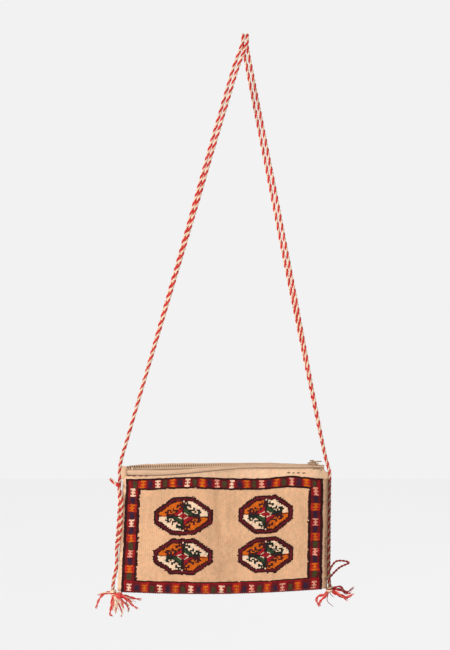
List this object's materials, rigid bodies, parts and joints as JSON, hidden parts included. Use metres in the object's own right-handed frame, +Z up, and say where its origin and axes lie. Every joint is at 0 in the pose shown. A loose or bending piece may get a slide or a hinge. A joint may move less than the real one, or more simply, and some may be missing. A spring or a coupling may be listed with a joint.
{
  "type": "woven shoulder bag",
  "caption": "Small flat wool shoulder bag with a knotted pile front, coil zip across the mouth and a long strap of twisted cords ending in tassels.",
  "frame": {"origin": "the point of the hook, under the strap where the two cords turn over it", "axes": "+Z up, -Y towards the patterned front, +X to the right of a viewer in front, where the slider is"},
  "size_m": [0.2966, 0.0253, 0.671],
  "materials": {
    "woven_wool": "matt wool pile",
    "zip_tape": "matt woven tape",
    "zip_nylon": "satin",
    "zip_metal": "satin",
    "cord_wool": "matt twisted wool",
    "tassel_wool": "matt loose wool"
  },
  "bodies": {
    "bag": {"woven_body": "woven_wool", "zip_tape_front": "zip_tape", "zip_tape_back": "zip_tape", "zip_coil_front": "zip_nylon", "zip_coil_back": "zip_nylon", "zip_top_stop_front": "zip_nylon", "zip_top_stop_back": "zip_nylon", "zip_bottom_stop": "zip_nylon", "strap_cord_a": "cord_wool", "strap_cord_b": "cord_wool", "tassel_left": "tassel_wool", "tassel_right": "tassel_wool", "seam_tuft": "tassel_wool", "loose_ply_loop": "tassel_wool"},
    "slider": {"zip_slider": "zip_metal"},
    "pull_tab": {"zip_pull_tab": "zip_metal"}
  },
  "joints": [
    {"name": "zip_slide", "type": "slide", "parent": "bag", "child": "slider", "axis": [-0.9997, 0, -0.025], "range_m": [0, 0.2]},
    {"name": "pull_tab_hinge", "type": "hinge", "parent": "slider", "child": "pull_tab", "pos_m": [0.07687, 0, -0.48831], "axis": [0, -1, 0], "range_deg": [0, 180]}
  ]
}
